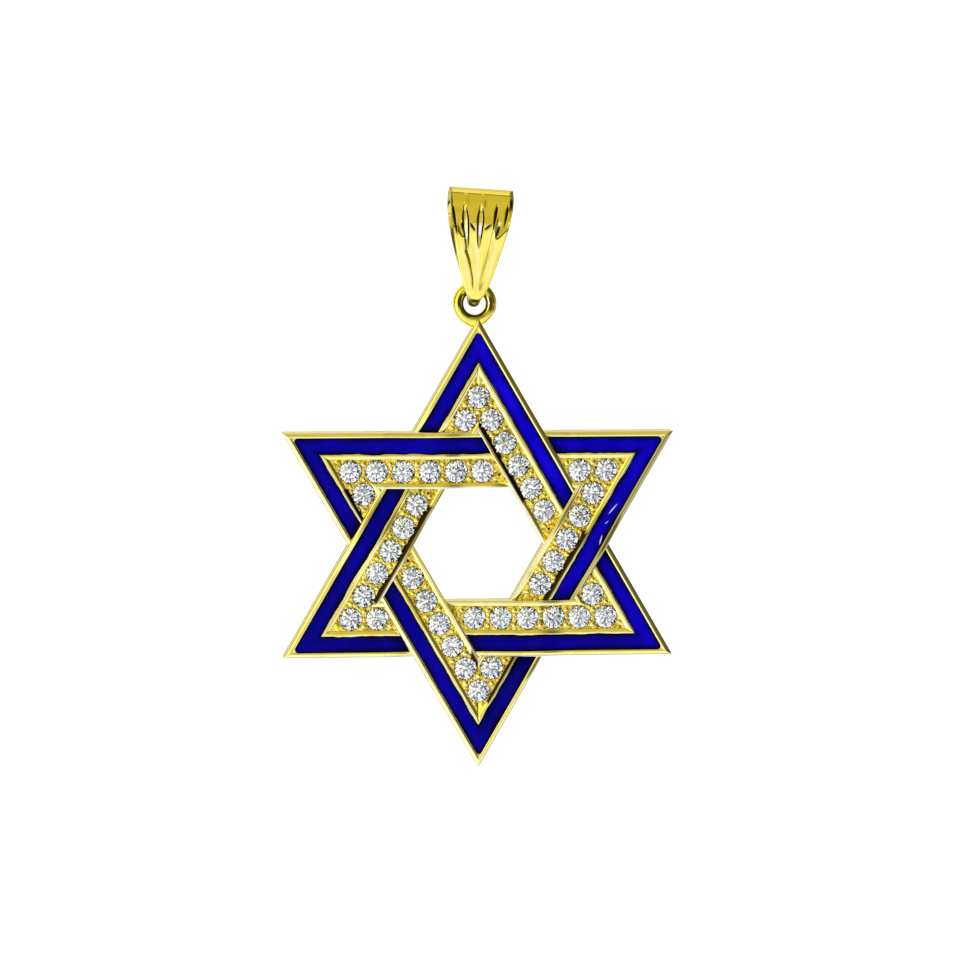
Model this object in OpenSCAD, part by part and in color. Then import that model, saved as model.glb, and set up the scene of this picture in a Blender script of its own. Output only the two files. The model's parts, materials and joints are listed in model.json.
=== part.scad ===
// Six-pointed woven star pendant: cast gold, blue enamel channels and round
// cut stones, hanging by a soldered ring from a folded, fluted bail.
// X runs to the right, the front faces -Y and Z is up.
// The origin is the inside top of the bail, where a chain bears.

/* [Star] */
// Distance from the middle of the star to each tip
tip_reach = 18; // [16:0.5:20]
// Width of each woven bar, from its outer edge to its inner edge
bar_w = 4.5; // [4.1:0.1:4.6]
// Thickness of the cast plate at the tips
plate_t = 1.8; // [1.6:0.1:2.2]
// Height that a bar climbs or dips where it crosses another
weave_rise = 0.35; // [0.2:0.05:0.4]

/* [Enamel] */
// Width of the polished outer rim beside the enamel
rim_w = 0.45; // [0.35:0.05:0.6]
// Width of the enamel channel
channel_w = 1.3; // [1:0.1:1.5]
// Depth of the enamel channel below the rim
channel_depth = 0.6; // [0.4:0.05:0.7]
// Depth of the enamel's surface below the rim
enamel_sink = 0.08; // [0.04:0.01:0.15]

/* [Stones] */
// Girdle diameter of each round stone
stone_d = 1.76; // [1.5:0.02:1.8]
// Distance between neighbouring stones along a bar
stone_pitch = 2.1; // [2:0.02:2.14]
// Room left between the last stone of a row and the bar that covers it
row_room = 0.1; // [0.05:0.01:0.15]
// Width of the bright-cut border beside the stones
border_w = 0.3; // [0.2:0.02:0.34]
// Depth of the stone bed below its borders
bed_sink = 0.12; // [0.06:0.02:0.2]
// Radius of each bead of gold that holds a stone
bead_r = 0.17; // [0.12:0.01:0.19]
// Radius of the hole drilled through behind each stone
drill_r = 0.45; // [0.35:0.05:0.55]
// Clearance round each stone and each run of enamel
fit_gap = 0.02; // [0.01:0.01:0.03]

/* [Ring] */
// Radius of the hole of the soldered ring
ring_hole_r = 0.88; // [0.84:0.02:1]
// Radius of the ring's wire
wire_r = 0.43; // [0.4:0.01:0.48]
// Overlap of the star's tip and the ring's wire at their solder joint
solder_overlap = 0.6; // [0.4:0.05:0.7]
// Distance of the ring to the left of the star's middle
ring_shift = 0.25; // [0:0.05:0.3]

/* [Bail] */
// Height of the bail over all
bail_h = 9.4; // [8:0.2:11]
// Width of the bail at its top
bail_w = 5.1; // [4.4:0.1:6]
// Depth of the bail's loop from front to back
bail_depth = 4.6; // [4:0.1:5.4]
// Thickness of the bail's sheet
leaf_t = 0.5; // [0.4:0.05:0.6]
// Width of the bail's foot, inside the ring
foot_w = 1; // [0.8:0.05:1.05]
// Thickness of the bail's foot, where the sheet is folded double
foot_t = 0.9; // [0.76:0.02:0.94]
// Height of the narrow part of the foot
foot_h = 1.3; // [1.2:0.05:1.5]
// Outward bow of the bail's long sides
side_bow = 0.45; // [0.2:0.05:0.6]
// Clearance between the bail's foot and the ring's hole
foot_gap = 0.12; // [0.1:0.01:0.14]
// Lean of the bail to the right
bail_lean = 4; // [0:1:5]
// Radius of each flute at the top of the bail
flute_r = 0.34; // [0.2:0.02:0.4]
// Radius of each flute where it runs out near the foot
flute_end_r = 0.04; // [0.02:0.01:0.08]

/* [Hidden] */
// Edges of the bar, all measured from the star's middle
side_out = tip_reach / 2;
side_in = side_out - bar_w;
enamel_out = side_out - rim_w;
enamel_in = enamel_out - channel_w;
stone_line = (enamel_in + side_in) / 2;
bed_out = enamel_in - border_w;
bed_in = side_in + border_w;
front_y = -plate_t / 2;

// Ends of the stretch of a bar that crosses a neighbour, and the middle of it
slant = sin(60);
cross_start = (side_in - side_out / 2) / slant;
cross_end = (side_out - side_in / 2) / slant;
cross_mid = (cross_start + cross_end) / 2;
cross_half = (cross_end - cross_start) / 2;
weave_steps = 16;

// Overshoot of a block that trims or cuts, past what it meets
overshoot = 1;
bar_reach = side_out / tan(30) + overshoot;

// Proportions of a round brilliant, as shares of its radius
table_share = 0.56;
star_share = 0.78;
crown_share = 0.3;
girdle_share = 0.06;
pavilion_share = 0.86;
lower_share = 0.24;
stone_r = stone_d / 2;
crown_h = crown_share * stone_r;
girdle_h = girdle_share * stone_r;
pavilion_h = pavilion_share * stone_r;

// Stones from the corner of an arm down the leg that passes over, and then the
// ones beyond the corner on the leg that goes under
corner_s = stone_line / tan(30);
over_room = corner_s + (side_in - stone_line / 2) / slant - stone_r - row_room;
under_room = corner_s - (side_out - stone_line / 2) / slant - stone_r - row_room;
over_count = floor(over_room / stone_pitch) + 1;
under_count = floor(under_room / stone_pitch);
seat_count = over_count + under_count;

// Beads stand between two stones, this far from the stone line
bead_out = stone_pitch * 0.27;
bead_sink = bead_r / 8;

// The ring hangs in the bail's fold, which bends round the ring's wire
ring_mid = ring_hole_r + wire_r;
fold_in = ring_mid - sqrt(pow(ring_hole_r, 2) - pow(foot_w / 2, 2)) + foot_gap;
fold_out = fold_in + foot_t;
tip_drop = ring_mid + wire_r - solder_overlap;
crest_out = bail_depth / 2;
crest_in = crest_out - leaf_t;
crest_z = bail_h - fold_out - crest_out;
seat_z = crest_z + crest_in;
pivot = [-seat_z * sin(bail_lean), 0, -seat_z * cos(bail_lean)];
star_mid = pivot + [ring_shift, 0, -ring_mid - tip_drop - tip_reach];

// The flutes draw together towards the foot, and the middle one is the shortest
flute_gather = 0.72;
side_flute_share = 0.88;
middle_flute_share = 0.6;

// Height of a bar's face above the plate's own, along the bar, and the angle at
// which the face leans there, measured over a short run to either side
lean_run = 0.01;
function swell(x) = abs(x) < cross_half ? (1 + cos(180 * x / cross_half)) / 2 : 0;
function rise(s) = weave_rise * (swell(s + cross_mid) - swell(s - cross_mid));
function lean(s) = atan((rise(s + lean_run) - rise(s - lean_run)) / (2 * lean_run));

// Places along the bar where its face is measured
bar_stops = concat(
    [-bar_reach],
    [for (i = [-weave_steps:weave_steps]) cross_end * i / weave_steps],
    [bar_reach]
);

// Side view of a bar between two depths below its face
function bar_side(top, bottom) = concat(
    [for (s = bar_stops) [s, front_y - rise(s) + top]],
    [for (i = [len(bar_stops) - 1:-1:0]) [bar_stops[i], front_y - rise(bar_stops[i]) + bottom]]
);

// Side view of the whole bar, down to the flat back
function bar_body_side() = concat(
    [for (s = bar_stops) [s, front_y - rise(s)]],
    [[bar_reach, -front_y], [-bar_reach, -front_y]]
);

// Places along a bar where the next bar of its own triangle and the bar that
// passes over it have their edges
function tip_s(near, far) = (far + near / 2) / slant;
function cover_s(edge, at) = (edge - at / 2) / slant;

// Plan of a run along a bar, from its over tip to where it goes under
function long_run(near, far, gap) = [
    [-tip_s(near, far), near],
    [-tip_s(far, far), far],
    [cover_s(side_in - gap, far), far],
    [cover_s(side_in - gap, near), near]
];

// Plan of the run from where it comes out to its other tip
function short_run(near, far, gap) = [
    [tip_s(near, far), near],
    [tip_s(far, far), far],
    [cover_s(side_out + gap, far), far],
    [cover_s(side_out + gap, near), near]
];

// Turns a plan of a bar into a tall block that reaches through the plate
module plan_block(points) {
    rotate([90, 0, 0])
        translate([0, 0, -plate_t])
            linear_extrude(height = 2 * plate_t)
                polygon(points);
}

// Turns a side view of a bar into a solid across the bar's width
module side_block(points) {
    linear_extrude(height = side_out + overshoot)
        polygon(points);
}

module bar_body() {
    intersection() {
        side_block(bar_body_side());
        plan_block([
            [-tip_s(side_in, side_out), side_in],
            [-tip_s(side_out, side_out), side_out],
            [tip_s(side_out, side_out), side_out],
            [tip_s(side_in, side_out), side_in]
        ]);
    }
}

module run_solid(plan, top, bottom) {
    intersection() {
        side_block(bar_side(top, bottom));
        plan_block(plan);
    }
}

// Both runs of a channel of the arm, on its over leg and on its under leg
module arm_runs(near, far, top, bottom, gap) {
    rotate([0, 60, 0])
        run_solid(long_run(near, far, gap), top, bottom);
    rotate([0, -60, 0])
        run_solid(short_run(near, far, gap), top, bottom);
}

// Puts its children on the stone line of a bar, square to the bar's face
module on_bar(bar, s, across) {
    rotate([0, 60 * bar, 0])
        translate([s, front_y - rise(s) + bed_sink, stone_line + across])
            rotate([0, 0, -lean(s)])
                rotate([90, 0, 0])
                    children();
}

// Seat 1 is the corner stone, and the last seats are on the leg that dips
function seat_bar(arm, seat) = seat <= over_count ? arm : arm - 2;
function seat_s(seat) = seat <= over_count
    ? -corner_s + (seat - 1) * stone_pitch
    : corner_s - (seat - over_count) * stone_pitch;

module at_seat(arm, seat) {
    on_bar(seat_bar(arm, seat), seat_s(seat), 0)
        children();
}

module seat_cut() {
    rotate_extrude($fn = 48)
        polygon([
            [0, plate_t],
            [stone_r + fit_gap, plate_t],
            [stone_r + fit_gap, -girdle_h],
            [drill_r, -girdle_h - pavilion_h * (1 - drill_r / (stone_r + fit_gap))],
            [drill_r, -2 * plate_t],
            [0, -2 * plate_t]
        ]);
}

// Two beads close each gap between neighbouring stones
module arm_beads(arm) {
    for (seat = [1:over_count - 1])
        for (side = [-1, 1])
            on_bar(arm, seat_s(seat) + stone_pitch / 2, side * bead_out)
                translate([0, 0, -bead_sink])
                    sphere(r = bead_r, $fn = 32);
}

module soldered_ring() {
    rotate([90, 0, 0])
        rotate_extrude($fn = 64)
            translate([ring_mid, 0])
                circle(r = wire_r, $fn = 32);
}

module star_frame() {
    color("gold")
        translate(star_mid)
            difference() {
                union() {
                    difference() {
                        union()
                            for (bar = [0:5])
                                rotate([0, 60 * bar, 0])
                                    bar_body();
                        for (arm = [0:5])
                            rotate([0, 60 * arm, 0]) {
                                arm_runs(enamel_in, enamel_out, -plate_t / 2, channel_depth, 0);
                                arm_runs(bed_in, bed_out, -plate_t / 2, bed_sink, 0);
                            }
                    }
                    for (arm = [1:6])
                        arm_beads(arm);
                    translate([-ring_shift, 0, tip_reach + tip_drop])
                        soldered_ring();
                }
                for (arm = [1:6])
                    for (seat = [1:seat_count])
                        at_seat(arm, seat)
                            seat_cut();
            }
}

module enamel(arm) {
    color("mediumblue")
        translate(star_mid)
            rotate([0, 60 * (arm - 1), 0])
                arm_runs(
                    enamel_in + fit_gap,
                    enamel_out - fit_gap,
                    enamel_sink,
                    channel_depth - fit_gap,
                    fit_gap
                );
}

// Ring of points at one height of a cut stone
function facet_ring(count, radius, z, turn) = [
    for (i = [0:count - 1])
        [radius * cos(360 * i / count + turn), radius * sin(360 * i / count + turn), z]
];

// Round brilliant with its girdle's upper edge at the origin's height. Eight
// main facets stand 45 degrees apart, and half of that lies between the rings.
module brilliant() {
    half = 22.5;
    star_r = star_share * stone_r;
    lower_r = lower_share * stone_r;
    star_z = crown_h * (1 - star_share * cos(half)) / (1 - table_share);
    lower_z = -girdle_h - pavilion_h * (1 - lower_share * cos(half));
    points = concat(
        facet_ring(8, table_share * stone_r, crown_h, 0),
        facet_ring(8, star_r, star_z, half),
        facet_ring(16, stone_r, 0, 0),
        facet_ring(16, stone_r, -girdle_h, 0),
        facet_ring(8, lower_r, lower_z, half),
        [[0, 0, -girdle_h - pavilion_h]]
    );
    culet = 56;
    faces = concat(
        [[for (i = [7:-1:0]) i]],
        [for (i = [0:7]) [i, (i + 1) % 8, 8 + i]],
        [for (i = [0:7]) [i, 8 + i, 16 + 2 * i, 8 + (i + 7) % 8]],
        [for (i = [0:7]) [8 + i, 17 + 2 * i, 16 + 2 * i]],
        [for (i = [0:7]) [8 + i, 16 + (2 * i + 2) % 16, 17 + 2 * i]],
        [for (i = [0:15]) [16 + i, 16 + (i + 1) % 16, 32 + (i + 1) % 16, 32 + i]],
        [for (i = [0:7]) [32 + 2 * i, 33 + 2 * i, 48 + i]],
        [for (i = [0:7]) [33 + 2 * i, 32 + (2 * i + 2) % 16, 48 + i]],
        [for (i = [0:7]) [32 + 2 * i, 48 + i, culet, 48 + (i + 7) % 8]]
    );
    polyhedron(points = points, faces = faces, convexity = 4);
}

module stone(arm, seat) {
    color("whitesmoke")
        translate(star_mid)
            at_seat(arm, seat)
                brilliant();
}

// Steps round the bail's two bends and up its long sides
crest_steps = 24;
fold_steps = 16;
side_steps = 12;

// Outline of a loop between a small bend below and a large bend above, seen
// from the side and measured from the middle of the small bend
function loop_side(low_r, high_r) =
    let (tilt = asin((high_r - low_r) / crest_z))
    concat(
        [for (i = [0:crest_steps]) let (a = -tilt + i * (180 + 2 * tilt) / crest_steps)
            [high_r * cos(a), crest_z + high_r * sin(a)]],
        [for (i = [0:fold_steps]) let (a = 180 + tilt + i * (180 - 2 * tilt) / fold_steps)
            [low_r * cos(a), low_r * sin(a)]]
    );

// Half of the bail's width at a share of the height of its long side
function side_half_w(t) =
    foot_w / 2 + t * (bail_w - foot_w) / 2 + 4 * side_bow * t * (1 - t);

function bail_front() =
    let (
        low = -fold_out - overshoot,
        knee = -fold_out + foot_h,
        rise_h = bail_h - foot_h,
        right = concat(
            [[foot_w / 2, low]],
            [for (i = [0:side_steps])
                [side_half_w(i / side_steps), knee + rise_h * i / side_steps]],
            [[bail_w / 2, knee + rise_h + overshoot]]
        )
    )
    concat(right, [for (i = [len(right) - 1:-1:0]) [-right[i][0], right[i][1]]]);

// A groove that is widest under the bail's top band and runs out downwards
module flute(top_x, share) {
    tilt = asin((crest_out - fold_out) / crest_z);
    run = crest_z * cos(tilt);
    rotate([tilt, 0, 0])
        translate([top_x, -fold_out, run])
            rotate([0, 180 + atan(top_x * flute_gather / run), 0])
                cylinder(h = run * share, r1 = flute_r, r2 = flute_end_r, $fn = 32);
}

module bail() {
    color("gold")
        translate(pivot)
            rotate([0, bail_lean, 0])
                difference() {
                    intersection() {
                        rotate([90, 0, 90])
                            translate([0, 0, -bail_w])
                                linear_extrude(height = 2 * bail_w)
                                    difference() {
                                        polygon(loop_side(fold_out, crest_out));
                                        polygon(loop_side(fold_in, crest_in));
                                    }
                        rotate([90, 0, 0])
                            translate([0, 0, -bail_depth])
                                linear_extrude(height = 2 * bail_depth)
                                    polygon(bail_front());
                    }
                    flute(0, middle_flute_share);
                    for (side = [-1, 1])
                        flute(side * bail_w / 4, side_flute_share);
                }
}

star_frame();
bail();
for (arm = [1:6])
    enamel(arm);
for (arm = [1:6])
    for (seat = [1:seat_count])
        stone(arm, seat);
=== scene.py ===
# Woven six-pointed star pendant of gold, blue enamel and round cut stones, with its bail.
import json
import math
import random

import bmesh
import bpy
from mathutils import Matrix, Vector, noise


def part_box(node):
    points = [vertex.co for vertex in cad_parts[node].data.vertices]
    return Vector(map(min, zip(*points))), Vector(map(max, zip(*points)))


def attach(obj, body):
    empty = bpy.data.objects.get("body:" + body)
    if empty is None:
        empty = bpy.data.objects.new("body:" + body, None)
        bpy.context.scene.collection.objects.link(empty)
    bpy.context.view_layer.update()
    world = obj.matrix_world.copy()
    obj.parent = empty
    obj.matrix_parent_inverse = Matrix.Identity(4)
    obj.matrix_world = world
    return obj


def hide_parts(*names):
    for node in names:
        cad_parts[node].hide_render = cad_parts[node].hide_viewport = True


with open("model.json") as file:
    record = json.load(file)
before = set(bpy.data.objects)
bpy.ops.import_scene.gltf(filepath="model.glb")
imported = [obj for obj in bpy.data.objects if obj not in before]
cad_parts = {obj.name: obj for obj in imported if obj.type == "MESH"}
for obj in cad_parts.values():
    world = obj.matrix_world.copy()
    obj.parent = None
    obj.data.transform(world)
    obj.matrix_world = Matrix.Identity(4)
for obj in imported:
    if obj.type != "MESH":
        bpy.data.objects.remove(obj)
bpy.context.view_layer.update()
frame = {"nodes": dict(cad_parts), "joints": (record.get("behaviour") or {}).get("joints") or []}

# The star is one gold casting of six bars, woven over and under each other. Each of its
# six arms has a polished rim, a sunk channel for enamel and, between two bright-cut
# borders, a bed that the setter has cut rough and drilled for the stones.
MM = 0.001
star_low, star_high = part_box("star_frame")
tip_reach = (star_high.x - star_low.x) / math.sqrt(3) / MM
star_middle = Vector(((star_low.x + star_high.x) / 2, 0, star_low.z + tip_reach * MM))
star_place = Matrix.Translation(star_middle) @ Matrix.Scale(MM, 4)
back_y = star_high.y / MM
face_y = -back_y
weave_rise = face_y - star_low.y / MM

bar_w = 4.5
rim_w = 0.45
channel_w = 1.3
channel_depth = 0.6
border_w = 0.42
bed_sink = 0.12
side_out = tip_reach / 2
side_in = side_out - bar_w
enamel_out = side_out - rim_w
enamel_in = enamel_out - channel_w
bed_out = enamel_in - border_w
bed_in = side_in + border_w
stone_line = (enamel_in + side_in) / 2
bed_half = (bed_out - bed_in) / 2

slant = math.sin(math.radians(60))
mitre_slope = math.tan(math.radians(30))
cross_start = (side_in - side_out / 2) / slant
cross_end = (side_out - side_in / 2) / slant
cross_mid = (cross_start + cross_end) / 2
cross_half = (cross_end - cross_start) / 2


def rise(s):
    """Height of a bar's face above the plate's, at a place along the bar."""
    total = 0
    for middle, sign in ((-cross_mid, 1), (cross_mid, -1)):
        near = (s - middle) / cross_half
        if abs(near) < 1:
            total += sign * (1 + math.cos(math.pi * near)) / 2
    return weave_rise * total


def bar_point(turn, s, y, d):
    """A point of a bar: s along it, y deep and d out from the star's middle."""
    return Matrix.Rotation(math.radians(turn), 3, "Y") @ Vector((s, y, d))


arms = range(1, 7)
OVER, UNDER = 60, -60
tip_round = 0.07
channel_tip_round = 0.25
border_wander = 0.085
wander_step = 1.5
tip_calm = 0.3
over_steps = 88
under_steps = 56
fan_step = 15
weld_reach = 0.0005


def cover_s(leg, tuck, d):
    """Where a leg of an arm goes in under the bar that covers it, tucked in by so much."""
    edge = side_in + tuck if leg == OVER else side_out - tuck
    return (edge - d / 2) / slant


def wander(arm, leg, s):
    """The hand-cut line between enamel and border strays a little, but not at the tip."""
    calm = min(1, max(0, abs(abs(s) - enamel_in / mitre_slope) - tip_calm))
    broad = noise.noise(Vector((arm * 7.3, leg, s / wander_step)))
    fine = noise.noise(Vector((arm * 3.1, leg, 3 * s / wander_step)))
    return border_wander * calm * (broad + 0.4 * fine)


def arm_turn(arm):
    """The turn that takes the top arm to this one."""
    return Matrix.Rotation(math.radians(60 * (arm - 1)), 4, "Y")


def arm_columns(tuck, lift):
    """Columns of an arm's mesh: leg, share of the way from tip to cover, tuck and lift."""
    over = [(OVER, i / over_steps, 0, 0) for i in range(over_steps + 1)]
    under = [(UNDER, i / under_steps, 0, 0) for i in range(under_steps + 1)]
    if tuck > 0:
        for leg, columns in ((OVER, over), (UNDER, under)):
            columns.append((leg, 1, tuck / 4, 0))
            columns.append((leg, 1, tuck / 2, lift))
            columns.append((leg, 1, tuck, lift))
    else:
        over = [(leg, share, tuck, 0) for leg, share, _, _ in over]
        under = [(leg, share, tuck, 0) for leg, share, _, _ in under]
    fan = [(angle, None, 0, 0) for angle in range(UNDER + fan_step, OVER, fan_step)]
    return under[::-1] + fan + over


def arm_point(arm, column, point):
    """Place in the arm's own frame of one profile point in one column."""
    leg, share, tuck, lift = column
    d, y, on_face, wanders = point
    sharp_d = min(d, side_out - tip_round if d > enamel_out else enamel_out - channel_tip_round)
    mitre = sharp_d / mitre_slope
    if share is None:
        centre = bar_point(0, 0, 0, 2 * sharp_d)
        return centre + bar_point(leg, 0, face_y + y if on_face else back_y + y, d - sharp_d)
    start = -mitre if leg == OVER else mitre
    s = start + share * (cover_s(leg, tuck, d) - start)
    if wanders:
        d += wander(arm, leg, s)
    return bar_point(leg, s, face_y - rise(s) + y if on_face else back_y + y - lift, d)


def skin(mesh, rings, cut_spans=()):
    """Faces between each ring of points and the next. Spans of the rings may be cut gold."""
    count = len(rings[0])
    for ring, after in zip(rings, rings[1:]):
        for i in range(count):
            j = (i + 1) % count
            face = mesh.faces.new((ring[i], ring[j], after[j], after[i]))
            face.material_index = 1 if i in cut_spans else 0


def arm_piece(name, arm, columns, profile, cut_spans=(), cutters=()):
    """Sweeps a closed profile round one arm."""
    mesh = bmesh.new()
    turn = arm_turn(arm)
    rings = [
        [mesh.verts.new(turn @ arm_point(arm, column, point)) for point in profile]
        for column in columns
    ]
    skin(mesh, rings, cut_spans)
    mesh.faces.new(rings[0])
    mesh.faces.new(rings[-1])
    bmesh.ops.remove_doubles(mesh, verts=mesh.verts, dist=weld_reach)
    return finished(name, mesh, star_place, cutters)


def linked(name, mesh):
    """Turns mesh code's result into an object, still in millimetres."""
    bmesh.ops.recalc_face_normals(mesh, faces=mesh.faces)
    data = bpy.data.meshes.new(name)
    mesh.to_mesh(data)
    mesh.free()
    piece = bpy.data.objects.new(name, data)
    bpy.context.scene.collection.objects.link(piece)
    return piece


def finished(name, mesh, place, cutters=(), sharp_angle=38):
    """Makes a piece, takes its cutters out of it, sets it in place and smooths its faces."""
    piece = linked(name, mesh)
    for cutter in cutters:
        cut = piece.modifiers.new("cut", "BOOLEAN")
        cut.object = cutter
        cut.solver = "EXACT"
        shaped = piece.evaluated_get(bpy.context.evaluated_depsgraph_get())
        data = bpy.data.meshes.new_from_object(shaped)
        piece.modifiers.clear()
        piece.data = data
        bpy.data.objects.remove(cutter)
    piece.data.transform(place)
    piece.data.shade_smooth()
    piece.data.set_sharp_from_angle(angle=math.radians(sharp_angle))
    return piece


def bend(middle_d, middle_y, reach_d, reach_y, start, end, steps, on_face=True):
    """Points round an edge of the bar's profile, on part of an ellipse."""
    angles = [math.radians(start + (end - start) * i / steps) for i in range(steps + 1)]
    return [
        (middle_d + reach_d * math.sin(a), middle_y - reach_y * math.cos(a), on_face, False)
        for a in angles
    ]


back_round = 0.12
flat_edge = 0.06
wall_top = 0.3
rim_fall = 0.2
crown_fall = 0.055
bevel_fall = 0.08
border_fall = 0.07
edge_round = 0.05
bevel_share = 0.3
# How far the borders' flats, lips and feet stand from the lines that they are cut to
outer_flat = 0.24
outer_lip = 0.03
outer_foot = 0.02
bed_flat = 0.6
inner_foot = 0.05
inner_flat = 0.14
# The polished rim from its side to its highest line, as shares of its width and as falls, with
# the place of the fine dark line painted along it, a painted reflection
rim_line = 0.38
rim_crown = [
    (0, rim_fall), (0.02, 0.8 * rim_fall), (0.08, 0.58 * rim_fall), (0.24, 1.15 * crown_fall),
    (0.29, 0.92 * crown_fall), (0.33, 0.8 * crown_fall), (rim_line, 0.66 * crown_fall),
    (0.43, 0.5 * crown_fall), (0.62, 0.12 * crown_fall), (0.67, 0.02 * crown_fall),
]
bar_profile = (
    [(side_in + back_round, 0, False, False), (side_in + back_round + flat_edge, 0, False, False)]
    + [(side_out - back_round - flat_edge, 0, False, False)]
    + [(side_out - back_round, 0, False, False)]
    + bend(side_out - back_round, -back_round, back_round, back_round, 180, 90, 4, False)[1:]
    + [(side_out, wall_top, True, False)]
    + [(side_out - rim_w * share, fall, True, False) for share, fall in rim_crown]
    + bend(enamel_out + rim_w * bevel_share, bevel_fall, rim_w * bevel_share, bevel_fall, 0, -90, 6)
    + [(enamel_out, channel_depth, True, False), (enamel_in, channel_depth, True, True)]
    + [(enamel_in, edge_round, True, True)]
    + [(enamel_in - edge_round / 3, edge_round / 3, True, True)]
    + [(enamel_in - edge_round, 0, True, True), (enamel_in - outer_flat, border_fall * 0.2, True, False)]
    + [(bed_out + outer_lip, border_fall, True, False), (bed_out - outer_foot, bed_sink, True, False)]
)
bed_start = len(bar_profile) - 1
bar_profile += (
    [(bed_out - bed_flat, bed_sink, True, False), (bed_in + bed_flat, bed_sink, True, False)]
    + [(bed_in + inner_foot, bed_sink, True, False), (bed_in, border_fall, True, False)]
    + [(bed_in - inner_flat, border_fall / 5, True, False), (side_in + edge_round, 0, True, False)]
    + [(side_in + edge_round / 3, edge_round / 3, True, False), (side_in, edge_round, True, False)]
    + [(side_in, wall_top, True, False)]
    + bend(side_in + back_round, -back_round, back_round, back_round, -90, -180, 4, False)[:-1]
)
bed_spans = range(bed_start - 1, bed_start + 4)

stone_r = 0.88
stone_pitch = 2.1
over_count = 6
seat_count = 7
seat_r = stone_r + 0.02
drill_r = 0.45
girdle_h = 0.06 * stone_r
pavilion_h = 0.86 * stone_r
corner_s = stone_line / mitre_slope


def on_bar(leg, s, across):
    """Frame on a leg's stone line, square to its face, at the height of the bed."""
    run = 0.01
    lean = math.atan((rise(s + run) - rise(s - run)) / (2 * run))
    place = Matrix.Translation((s, face_y - rise(s) + bed_sink, stone_line + across))
    upright = Matrix.Rotation(-lean, 4, "Z") @ Matrix.Rotation(math.radians(90), 4, "X")
    return Matrix.Rotation(math.radians(leg), 4, "Y") @ place @ upright


def seat_place(seat):
    """The leg of a numbered stone and its place along that leg."""
    if seat <= over_count:
        return OVER, (seat - 1) * stone_pitch - corner_s
    return UNDER, corner_s - (seat - over_count) * stone_pitch


def lathe(mesh, profile, place, steps=40):
    """Turns a profile of radius and height, which starts and ends on the axis."""
    turns = [math.tau * i / steps for i in range(steps)]
    rings = [
        [
            mesh.verts.new(place @ Vector((r * math.cos(turn), r * math.sin(turn), z)))
            for turn in (turns if r > 0 else turns[:1])
        ]
        for r, z in profile
    ]
    for low, high in zip(rings, rings[1:]):
        for i in range(steps):
            j = (i + 1) % steps
            corners = [low[i % len(low)], low[j % len(low)]]
            corners += [high[j % len(high)], high[i % len(high)]]
            face = mesh.faces.new(list(dict.fromkeys(corners)))
            face.material_index = 1


seat_flare = 0.03
flare_h = 0.04
drill_up = 1
drill_down = 3
seat_profile = [
    (0, drill_up),
    (seat_r + seat_flare, drill_up),
    (seat_r + seat_flare, 0),
    (seat_r, -flare_h),
    (seat_r, -girdle_h),
    (drill_r, -girdle_h - pavilion_h * (1 - drill_r / seat_r)),
    (drill_r, -drill_down),
    (0, -drill_down),
]
wedge_above = 0.5
wedge_top = 14.3
wedge_foot = 12.7
# Half width and depth of the bright cut at each arm's point
wedges = {
    1: (0.45, 0.34), 2: (0.2, 0.12), 3: (0.7, 0.16), 4: (0.4, 0.3), 5: (0.6, 0.1), 6: (0.25, 0.2),
}


def bright_cut_wedge(mesh, place, wedge_half, wedge_depth):
    """A graver's wedge-shaped cut, from the band's point to the corner stone."""
    above = face_y - wedge_above
    corners = [
        (0, above, wedge_top), (-wedge_half, above, wedge_foot), (wedge_half, above, wedge_foot),
        (0, face_y, wedge_top), (-wedge_half, face_y, wedge_foot),
        (0, face_y + wedge_depth, wedge_foot), (wedge_half, face_y, wedge_foot),
    ]
    points = [mesh.verts.new(place @ Vector(corner)) for corner in corners]
    for face in ((0, 1, 2), (0, 3, 4, 1), (0, 2, 6, 3), (1, 4, 5, 6, 2), (3, 5, 4), (3, 6, 5)):
        mesh.faces.new([points[i] for i in face])


def arm_cutters(arm):
    """What is drilled and what is cut out of one arm."""
    turn = arm_turn(arm)
    seats, wedge = bmesh.new(), bmesh.new()
    for seat in range(1, seat_count + 1):
        lathe(seats, seat_profile, turn @ on_bar(*seat_place(seat), 0))
    bright_cut_wedge(wedge, turn, *wedges[arm])
    return linked("seats", seats), linked("wedge", wedge)


class Wire:
    """An output in a material's node tree. Sums and products of wires add Math nodes."""

    def __init__(self, tree, socket=None):
        self.tree = tree
        self.socket = socket

    def node(self, kind, settings=None, values=None):
        """Adds a node, with its settings first and then its sockets' values or wires."""
        made = self.tree.nodes.new(kind)
        for name, value in (settings or {}).items():
            setattr(made, name, value)
        for name, value in (values or {}).items():
            if isinstance(value, Wire):
                self.tree.links.new(value.socket, made.inputs[name])
            else:
                made.inputs[name].default_value = value
        return made

    def take(self, kind, output, settings=None, values=None):
        """Adds a node and gives one of its outputs."""
        return Wire(self.tree, self.node(kind, settings, values).outputs[output])

    def math(self, operation, *values):
        return self.take("ShaderNodeMath", 0, {"operation": operation}, dict(enumerate(values)))

    def __add__(self, other):
        return self.math("ADD", self, other)

    def __sub__(self, other):
        return self.math("SUBTRACT", self, other)

    def __rsub__(self, other):
        return self.math("SUBTRACT", other, self)

    def __mul__(self, other):
        return self.math("MULTIPLY", self, other)

    def __truediv__(self, other):
        return self.math("DIVIDE", self, other)

    __radd__ = __add__
    __rmul__ = __mul__

    def between(self, low, high):
        """0 below low, 1 above high and smooth between."""
        return self.take(
            "ShaderNodeMapRange",
            0,
            {"interpolation_type": "SMOOTHSTEP"},
            {"Value": self, "From Min": low, "From Max": high},
        )

    def tint(self, start, end):
        """The colour this far from one colour to another."""
        mixed = {0: self}
        for place, colour in ((6, start), (7, end)):
            mixed[place] = colour if isinstance(colour, Wire) else (*colour, 1)
        return self.take("ShaderNodeMix", 2, {"data_type": "RGBA"}, mixed)


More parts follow.
